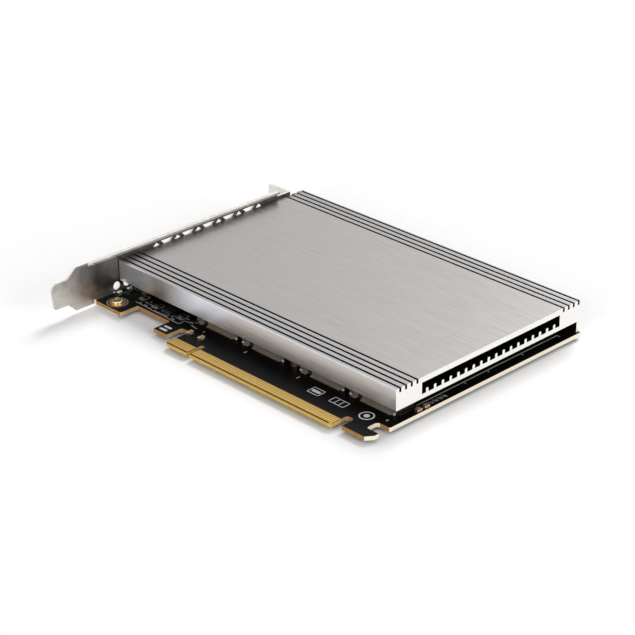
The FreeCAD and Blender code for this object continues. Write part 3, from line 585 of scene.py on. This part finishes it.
def block(name, low, high):
    """A block between two corners, in millimetres."""
    start_blank()
    middle = [(a + b) / 2 * MM for a, b in zip(low, high)]
    bpy.ops.mesh.primitive_cube_add(size=1.0, location=middle)
    piece = bpy.context.object
    piece.scale = [(b - a) * MM for a, b in zip(low, high)]
    return settle(piece, name)


def rod(name, across, up, low, high, radius, sides=32):
    """A round bar standing upright between two heights, in millimetres."""
    start_blank()
    bpy.ops.mesh.primitive_cylinder_add(
        vertices=sides, radius=radius * MM, depth=(high - low) * MM,
        location=(across * MM, up * MM, (low + high) / 2 * MM))
    return settle(bpy.context.object, name)


def pick_faces(piece, test):
    """In edit mode, only the faces that pass a test of their middle and normal are selected."""
    hold(piece)
    bpy.ops.object.mode_set(mode="EDIT")
    bpy.ops.mesh.select_mode(type="FACE")
    bpy.ops.mesh.select_all(action="DESELECT")
    mesh = bmesh.from_edit_mesh(piece.data)
    for face in mesh.faces:
        face.select_set(bool(test(face.calc_center_median() / MM, face.normal)))
    bmesh.update_edit_mesh(piece.data)


def pick_edges(piece, test):
    """In edit mode, only the edges that pass a test of their two ends are selected."""
    hold(piece)
    bpy.ops.object.mode_set(mode="EDIT")
    bpy.ops.mesh.select_mode(type="EDGE")
    bpy.ops.mesh.select_all(action="DESELECT")
    mesh = bmesh.from_edit_mesh(piece.data)
    for edge in mesh.edges:
        edge.select_set(bool(test(edge.verts[0].co / MM, edge.verts[1].co / MM)))
    bmesh.update_edit_mesh(piece.data)


def everything(middle, normal):
    """A test that every face passes."""
    return True


def upwards(middle, normal):
    """A test that faces turned away from the board pass."""
    return normal.z > 0.9


def downwards(middle, normal):
    """A test that faces turned to the board pass."""
    return normal.z < -0.9


def leave_edit():
    """Back from edit mode."""
    bpy.ops.object.mode_set(mode="OBJECT")


def stretch_picked(across, up, out):
    """What is selected is extruded and moved, in millimetres."""
    bpy.ops.mesh.extrude_region_move(TRANSFORM_OT_translate={"value": (across * MM, up * MM, out * MM)})


def soften(piece, width, segments=2):
    """Small bevels on every sharp edge of a piece, in millimetres."""
    hold(piece)
    bevel = piece.modifiers.new("soft_edges", "BEVEL")
    bevel.width = width * MM
    bevel.segments = segments
    bevel.limit_method = "ANGLE"
    bevel.angle_limit = math.radians(35)
    bpy.ops.object.modifier_apply(modifier=bevel.name)
    return piece


def cut_away(piece, cutter):
    """The cutter's shape is taken out of the piece, and the cutter goes."""
    hold(piece)
    boolean = piece.modifiers.new("cut", "BOOLEAN")
    boolean.operation = "DIFFERENCE"
    boolean.solver = "EXACT"
    boolean.object = cutter
    bpy.ops.object.modifier_apply(modifier=boolean.name)
    bpy.data.objects.remove(cutter, do_unlink=True)
    return piece


def row_of(piece, count, step):
    """The piece repeated in a straight row, each copy a step further, in millimetres."""
    hold(piece)
    array = piece.modifiers.new("row", "ARRAY")
    array.count = count
    array.use_relative_offset = False
    array.use_constant_offset = True
    array.constant_offset_displace = [value * MM for value in step]
    bpy.ops.object.modifier_apply(modifier=array.name)
    return piece


def copies_at(master, name, places):
    """A copy of the master at each place, each with its own mesh, all made one. The master goes."""
    pieces = []
    for across, up, out in places:
        twin = master.copy()
        twin.data = master.data.copy()
        bpy.context.scene.collection.objects.link(twin)
        twin.location = (across * MM, up * MM, out * MM)
        pieces.append(settle(twin, name))
    bpy.data.objects.remove(master, do_unlink=True)
    return join_all(pieces, name)


def join_all(pieces, name):
    """Several pieces made one."""
    start_blank()
    for piece in pieces:
        piece.select_set(True)
    bpy.context.view_layer.objects.active = pieces[0]
    if len(pieces) > 1:
        bpy.ops.object.join()
    pieces[0].name = name
    pieces[0].data.name = name
    return pieces[0]


def dress(piece, *finishes, angle=30.0):
    """A finished piece gets its materials and smooth shading between sharp edges, and rides on the card."""
    hold(piece)
    bpy.ops.object.shade_smooth_by_angle(angle=math.radians(angle))
    while len(piece.data.materials) < len(finishes):
        piece.data.materials.append(None)
    for place, finish in enumerate(finishes):
        piece.data.materials[place] = FINISH[finish]
    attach(piece, "root")
    return piece


# ---------------------------------------------------------------- screws

def make_screw(name, head_radius, head_height, shank_radius, shank_length, recess):
    """A pan head screw with a cross recess, its head's seat at height 0 and its shank going down."""
    screw = rod(name, 0, 0, 0, head_height, head_radius)
    pick_faces(screw, upwards)
    bpy.ops.mesh.bevel(offset=head_height * 0.55 * MM, segments=4, profile=0.6)
    leave_edit()
    pick_faces(screw, downwards)
    bpy.ops.mesh.inset(thickness=(head_radius - shank_radius) * MM)
    tip = 0.3
    stretch_picked(0, 0, tip - shank_length)
    stretch_picked(0, 0, -tip)
    bpy.ops.transform.resize(value=(0.8, 0.8, 1.0))
    leave_edit()
    wing = recess * 0.26
    bottom = head_height * 0.3
    for length, width in ((recess, wing), (wing, recess)):
        slot = block("slot", (-length / 2, -width / 2, bottom), (length / 2, width / 2, head_height + 0.2))
        pick_faces(slot, downwards)
        bpy.ops.transform.resize(value=(0.62, 0.62, 1.0))
        leave_edit()
        cut_away(screw, slot)
    return screw


def head_radius_of(name):
    """The head radius of a CAD node's first screw, in millimetres."""
    low, high = solids_of(name)[0]
    return (high.x - low.x) / 2


def make_bracket_screws():
    """Two screws through the board into the bracket's ears."""
    low, high = box_of("bracket_screws")
    head_radius = head_radius_of("bracket_screws")
    shank_radius = 1.45
    master = make_screw("bracket_screw", head_radius, high.z, shank_radius, -low.z, head_radius)
    places = [(x, y, 0) for x, y in middles_of("bracket_screws")]
    screws = copies_at(master, "bracket_screws_cross_head", places)
    dress(screws, "bracket_screw", angle=40)
    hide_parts("bracket_screws")


def make_heatsink_screws():
    """Five screws from under the board, through the spacers, into the heatsink."""
    low, high = box_of("heatsink_screws")
    head_radius = head_radius_of("heatsink_screws")
    shank_radius = 1.4
    seat = BOARD_UNDERSIDE
    master = make_screw(
        "heatsink_screw", head_radius, seat - low.z, shank_radius, high.z - seat, head_radius)
    pick_faces(master, everything)
    bpy.ops.transform.resize(value=(1.0, 1.0, -1.0), center_override=(0.0, 0.0, 0.0))
    bpy.ops.mesh.normals_make_consistent(inside=False)
    leave_edit()
    places = [(x, y, seat) for x, y in middles_of("heatsink_screws")]
    screws = copies_at(master, "heatsink_screws_cross_head", places)
    dress(screws, "screw_steel", angle=40)
    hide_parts("heatsink_screws")


# ---------------------------------------------------------------- plating and print on the board

def flat_ring(name, inner, outer, low, high, sides=40):
    """A thin flat ring round the origin, in millimetres."""
    ring = rod(name, 0, 0, low, high, outer, sides)
    pick_faces(ring, lambda middle, normal: abs(normal.z) > 0.9)
    bpy.ops.mesh.inset(thickness=(outer - inner) * MM)
    bpy.ops.mesh.bridge_edge_loops()
    leave_edit()
    return ring


def make_plated_rings():
    """Gold plated rings round the bracket screws' holes on top and the heatsink screws' holes below."""
    plating = 0.04
    hole = 1.62
    above = [(x, y, 0) for x, y in middles_of("bracket_screws")]
    below = [(x, y, BOARD_UNDERSIDE) for x, y in middles_of("heatsink_spacers")]
    rings = [
        copies_at(flat_ring("ring", hole, 3.25, 0.0, plating), "rings", above),
        copies_at(flat_ring("ring", hole, 3.3, -plating, 0.0), "rings", below),
    ]
    dress(join_all(rings, "plated_rings"), "gold")


INK = 0.02
LINE = 0.34
TICK = 0.3


def stroke(start, end, width):
    """A printed stroke with round ends between two places on the board, in millimetres."""
    run = math.dist(start, end)
    ink = block("stroke", (-width / 2, -width / 2, 0.0), (run + width / 2, width / 2, INK))
    pick_edges(ink, lambda first, second: abs(first.z - second.z) > INK / 2)
    bpy.ops.mesh.bevel(offset=width * 0.42 * MM, segments=2)
    leave_edit()
    ink.rotation_euler.z = math.atan2(end[1] - start[1], end[0] - start[0])
    ink.location = (start[0] * MM, start[1] * MM, 0.0)
    return settle(ink, "stroke")


def route(points, width):
    """Printed strokes end to end through places on the board."""
    return [stroke(start, end, width) for start, end in zip(points, points[1:])]


def frame_round(low, high, width=0.22):
    """A printed box round a part."""
    return route([low, (high[0], low[1]), high, (low[0], high[1]), low], width)


def make_silk_rings():
    """Thin white circles printed round the bracket screws."""
    places = [(x, y, 0) for x, y in middles_of("bracket_screws")]
    rings = copies_at(flat_ring("ring", 3.85, 4.0, 0.0, INK, 48), "silk_rings", places)
    dress(rings, "silk_ink")


MODULE_SIDE = 11.0
MODULE_START = 22.0
MODULE_ENDS = (53.1, 65.1, 83.1, 103.1)
NUMBER_SHIFTS = (-2.9, -4.9, -7.9, 10.6)
NUMBER_FOOT = 14.8
NUMBER_SIZE = 2.0


def make_silk_outlines():
    """White lines printed along each module's place, with a tick at each length that a module may have."""
    lines = []
    for middle in BAY_MIDDLES:
        side = middle + MODULE_SIDE
        lines += route([(side, MODULE_START), (side, MODULE_ENDS[-1])], 0.36)
        for end in MODULE_ENDS:
            lines += route([(side - 0.2, end), (side + 1.3, end)], TICK)
    dress(join_all(lines, "silk_module_lines"), "silk_ink")


def make_silk_digits():
    """A small plain number beside each socket."""
    digits = []
    for bay, middle, shift in zip(BAYS, BAY_MIDDLES, NUMBER_SHIFTS):
        start_blank()
        bpy.ops.object.text_add(location=((middle + shift) * MM, NUMBER_FOOT * MM, 0.0))
        digit = bpy.context.object
        digit.data.body = bay
        digit.data.size = NUMBER_SIZE * MM
        digit.data.extrude = INK / 2 * MM
        hold(digit)
        bpy.ops.object.convert(target="MESH")
        digits.append(settle(bpy.context.object, "digit"))
    numbers = join_all(digits, "silk_bay_numbers")
    pick_faces(numbers, everything)
    bpy.ops.mesh.remove_doubles(threshold=0.001 * MM)
    bpy.ops.transform.translate(value=(0.0, 0.0, INK / 2 * MM))
    leave_edit()
    dress(numbers, "silk_ink")


def make_silk_marks():
    """Plain printed marks beside the contacts: a box for a stamp, a ruled box and a target ring."""
    stamp_box = frame_round((50.0, 10.9), (55.2, 14.7), LINE)
    ruled_box = frame_round((60.2, 11.2), (67.0, 14.7), LINE)
    marks = stamp_box + ruled_box
    for column in (62.5, 64.7):
        marks += route([(column, 11.2), (column, 14.7)], LINE)
    marks += route([(51.3, 12.8), (53.9, 12.8)], 1.5)
    target = (76.7, 12.9)
    ring = flat_ring("ring", 2.3, 2.8, 0.0, INK)
    marks.append(copies_at(ring, "ring", [(*target, 0)]))
    dot = rod("dot", *target, 0.0, INK, 1.1, 24)
    pick_faces(dot, upwards)
    bpy.ops.mesh.inset(thickness=0.1 * MM)
    leave_edit()
    marks.append(dot)
    marks += route([(-22.0, 8.7), (-19.3, 8.7)], 1.2)
    marks += route([(-22.0, 6.5), (-19.3, 6.5)], 1.2)
    dress(join_all(marks, "silk_marks"), "silk_ink")


GUARD_LINE = [
    (-45.5, 14.1), (-32.9, 13.6), (-21.15, 13.3), (-19.85, 13.7),
    (-20.3, 15.4), (-20.1, 16.5), (-17.3, 16.6),
]


def make_worn_print():
    """Fainter print: a guard line along the board's lower edge and marks by the right edge."""
    lines = route(GUARD_LINE, 0.26)
    for up in (34.2, 36.4, 38.6, 40.8):
        lines += route([(84.9, up), (86.3, up + 0.5)], 0.36)
        lines += route([(85.2, up + 1.0), (86.4, up + 1.2)], TICK)
    dress(join_all(lines, "worn_print"), "worn_ink")


# ---------------------------------------------------------------- sockets

def make_socket_tails():
    """The metal tail that climbs the back of each socket's housing from every solder foot."""
    back = box_of("m2_socket_1")[0].y
    feet = middles_of("m2_contacts_1")
    half = 0.09
    foot_top = 0.2
    tail = block("tail", (-half, back - 0.22, foot_top), (half, back - 0.02, foot_top + 0.12))
    pick_faces(tail, upwards)
    stretch_picked(0, 0, 1.58)
    bpy.ops.transform.resize(value=(0.7, 0.5, 1.0))
    stretch_picked(0, 0.3, 0.12)
    leave_edit()
    pick_faces(tail, lambda middle, normal: normal.y < -0.9 and middle.z < 0.33)
    stretch_picked(0, -0.6, 0)
    stretch_picked(0, -0.15, -0.18)
    stretch_picked(0, -0.45, 0)
    leave_edit()
    places = [(foot[0] + middle - BAY_MIDDLES[0], 0, 0) for middle in BAY_MIDDLES for foot in feet]
    dress(copies_at(tail, "m2_socket_tails", places), "socket_tail")


def make_socket_lips():
    """A lip along the top of each socket's back, with a step at each end."""
    low, high = box_of("m2_socket_1")
    step = 0.4
    half = (high.x - low.x) / 2 - step
    lip = block("lip", (-half, low.y - 0.3, 2.15), (half, low.y + 0.1, 2.75))
    pick_faces(lip, lambda middle, normal: abs(normal.x) > 0.9)
    bpy.ops.mesh.inset(thickness=0.06 * MM)
    bpy.ops.transform.resize(value=(1.02, 1.0, 1.0))
    leave_edit()
    soften(lip, 0.08)
    dress(copies_at(lip, "m2_socket_lips", [(middle, 0, 0) for middle in BAY_MIDDLES]), "socket_plastic")


# ---------------------------------------------------------------- small parts on the board

def two_ended(across, up, along, length=1.1, width=0.55, height=0.4, end=0.3):
    """A small ceramic part with a soldered metal cap on each end, in millimetres."""
    part = block("small_part", (end - length / 2, -width / 2, 0.0), (length / 2 - end, width / 2, height))
    for side in (-1, 1):
        pick_faces(part, lambda middle, normal: normal.x * side > 0.9)
        stretch_picked(0, 0, 0)
        bpy.ops.transform.resize(value=(1.0, 1.12, 1.1), center_override=(0, 0, 0))
        stretch_picked(side * end, 0, 0)
        leave_edit()
    soften(part, 0.04, 1)
    for polygon in part.data.polygons:
        polygon.material_index = int(abs(polygon.center.x) > (length / 2 - end - 0.02) * MM)
    part.rotation_euler.z = math.radians(90) if along == "Y" else 0.0
    part.location = (across * MM, up * MM, 0.0)
    return settle(part, "small_part")


def small_chip(name, across, up, length, width, height, leads):
    """A small black chip with a row of bent leads along each long side, in millimetres."""
    body = block(name, (-length / 2, -width / 2, 0.1), (length / 2, width / 2, height))
    pick_faces(body, upwards)
    bpy.ops.transform.resize(value=(0.93, 0.9, 1.0))
    leave_edit()
    soften(body, 0.05, 1)
    parts = [body]
    pitch = length / leads
    shoulder = height * 0.45
    for side in (-1, 1):
        wall = side * width / 2
        reach = wall + side * 0.35
        lead = block("lead", (-0.15, min(wall, reach), shoulder), (0.15, max(wall, reach), shoulder + 0.12))
        pick_faces(lead, lambda middle, normal: normal.y * side > 0.9)
        stretch_picked(0, side * 0.12, 0.02 - shoulder)
        stretch_picked(0, side * 0.3, 0)
        leave_edit()
        lead.location.x = -(leads - 1) * pitch / 2 * MM
        row_of(settle(lead, "lead"), leads, (pitch, 0.0, 0.0))
        lead.data.materials.append(None)
        lead.data.materials.append(FINISH["tinned_metal"])
        for polygon in lead.data.polygons:
            polygon.material_index = 1
        parts.append(lead)
    body.data.materials.append(FINISH["chip_plastic"])
    body.data.materials.append(FINISH["tinned_metal"])
    whole = join_all(parts, name)
    whole.location = (across * MM, up * MM, 0.0)
    return settle(whole, name)


SMALL_PARTS = [
    (-40.9, 18.7, "Y"), (-41.7, 17.0, "X"), (-39.2, 16.9, "X"), (-40.2, 15.2, "X"), (-43.4, 15.6, "Y"),
    (-32.1, 14.8, "X"), (-30.4, 14.8, "X"), (-28.6, 14.9, "X"), (-26.2, 16.6, "Y"), (-24.6, 14.9, "X"),
    (-20.7, 18.7, "X"), (-17.3, 17.9, "X"), (-15.2, 16.6, "Y"), (-13.2, 15.9, "X"), (-34.2, 15.0, "Y"),
    (-16.4, 19.4, "Y"), (-37.6, 14.6, "X"),
]
CHIPS = [
    ("power_switch_1", -36.4, 17.3, 2.6, 1.6, 0.95, 3),
    ("power_switch_2", -23.2, 17.9, 2.6, 1.6, 0.95, 3),
    ("power_switch_3", -45.4, 18.4, 2.0, 1.3, 0.9, 3),
]
RIGHT_EDGE_PARTS = (21.4, 23.6, 25.8, 28.0)


def make_small_parts():
    """The clock's small resistors and capacitors, the lights' resistors and the power switch chips."""
    parts = [two_ended(across, up, along) for across, up, along in SMALL_PARTS]
    for up in RIGHT_EDGE_PARTS:
        parts.append(two_ended(84.3, up, "Y", 1.9, 0.9, 0.5, 0.7))
    outlines = []
    for across, up, along in SMALL_PARTS:
        reach = 0.95 if along == "X" else 0.6
        rise = 0.6 if along == "X" else 0.95
        outlines += route([(across - reach, up - rise), (across + reach, up - rise)], 0.24)
    for across, up in middles_of("status_lights"):
        parts.append(two_ended(across + 2.5, up, "Y", 1.6, 0.8, 0.5, 0.4))
        parts.append(two_ended(across + 4.1, up + 0.6, "Y"))
        outlines += route([(across + 1.5, up - 1.5), (across + 1.5, up + 1.5)], 0.18)
    for name, across, up, length, width, height, leads in CHIPS:
        chip = small_chip(name, across, up, length, width, height, leads)
        dress(chip, "chip_plastic", "tinned_metal")
        outlines += frame_round((across - length / 2 - 0.3, up - width / 2 - 1.1),
                                (across + length / 2 + 0.3, up + width / 2 + 1.1))
    dress(join_all(parts, "small_resistors"), "resistor_body", "tinned_metal")
    dress(join_all(outlines, "silk_part_outlines"), "silk_ink")


def make_light_ends():
    """Soldered metal ends on the status lights."""
    ends = []
    for low, high in solids_of("status_lights"):
        for side, edge in ((-1, low.y), (1, high.y)):
            far = edge + side * 0.35
            near_corner = (low.x - 0.05, min(edge, far), 0.0)
            far_corner = (high.x + 0.05, max(edge, far), high.z * 0.7)
            end = block("light_end", near_corner, far_corner)
            pick_faces(end, lambda middle, normal: normal.y * side > 0.9)
            bpy.ops.transform.resize(value=(1.0, 1.0, 0.5))
            leave_edit()
            ends.append(soften(end, 0.04, 1))
    dress(join_all(ends, "status_light_ends"), "tinned_metal")


make_bracket_screws()
make_heatsink_screws()
make_plated_rings()
make_silk_rings()
make_silk_outlines()
make_silk_digits()
make_silk_marks()
make_worn_print()
make_socket_tails()
make_socket_lips()
make_small_parts()
make_light_ends()


# ---------------------------------------------------------------- room and light

FLOOR_GAP = 0.0001
FLOOR_SIZE = 30.0
SURROUND_LEVEL = 0.36
LAMP_TARGET = Vector((0.015, 0.05, 0.0))


def seen_directly(tree):
    """1 for what the camera sees directly, in a mirror or through glass, and 0 for light on surfaces."""
    rays = add(tree, "ShaderNodeLightPath").outputs
    mirror = sum_up(tree, "MAXIMUM", rays["Is Glossy Ray"], rays["Is Transmission Ray"])
    return sum_up(tree, "MAXIMUM", rays["Is Camera Ray"], mirror)


def make_room():
    """A plain white floor under the card, which keeps the card's soft shadow."""
    start_blank()
    floor_height = CAD_BOX[0].z - FLOOR_GAP
    bpy.ops.mesh.primitive_plane_add(size=FLOOR_SIZE, location=(0.0, 0.0, floor_height))
    floor = bpy.context.object
    floor.name = "floor"
    material, tree, shader = start_material("floor_paper")
    grain = spread(tree, noise(tree, 300.0, 2.0))
    tree.links.new(blend(tree, grain, (0.98, 0.98, 0.98), (1.0, 1.0, 1.0)), shader.inputs["Base Color"])
    shader.inputs["Roughness"].default_value = 0.9
    shader.inputs["Specular IOR Level"].default_value = 0.0
    floor.data.materials.append(material)


def make_world():
    """An even pale surround, white where the camera or a mirror sees it."""
    world = bpy.data.worlds.new("studio")
    bpy.context.scene.world = world
    world.use_nodes = True
    tree = world.node_tree
    tree.nodes.clear()
    out = tree.nodes.new("ShaderNodeOutputWorld")
    white = (1.0, 1.0, 1.0, 1.0)
    light = add(tree, "ShaderNodeBackground", inputs={"Color": white, "Strength": SURROUND_LEVEL})
    backdrop = add(tree, "ShaderNodeBackground", inputs={"Color": white, "Strength": 1.0})
    mix = add(tree, "ShaderNodeMixShader", inputs={
        0: seen_directly(tree), 1: light.outputs[0], 2: backdrop.outputs[0]})
    tree.links.new(mix.outputs[0], out.inputs["Surface"])


def add_lamp(name, place, size, level):
    """A soft square lamp turned to the card, whose light at the card is a share of full white."""
    place = Vector(place)
    distance = (place - LAMP_TARGET).length
    data = bpy.data.lights.new(name, "AREA")
    data.shape = "SQUARE"
    data.size = size
    data.energy = level * (math.pi * distance) ** 2
    lamp = bpy.data.objects.new(name, data)
    bpy.context.scene.collection.objects.link(lamp)
    aim = (LAMP_TARGET - place).normalized()
    turn = aim.to_track_quat("-Z", "Y").to_matrix().to_4x4()
    lamp.matrix_world = Matrix.Translation(place) @ turn


make_room()
make_world()
add_lamp("overhead_back", place=(-1.6, 5.2, 4.9), size=3.0, level=0.72)
add_lamp("front", place=(1.4, -4.1, 1.7), size=2.4, level=0.32)
add_lamp("right_side", place=(4.0, 0.5, 1.5), size=2.0, level=0.3)

scene = bpy.context.scene
scene.view_settings.view_transform = "Standard"
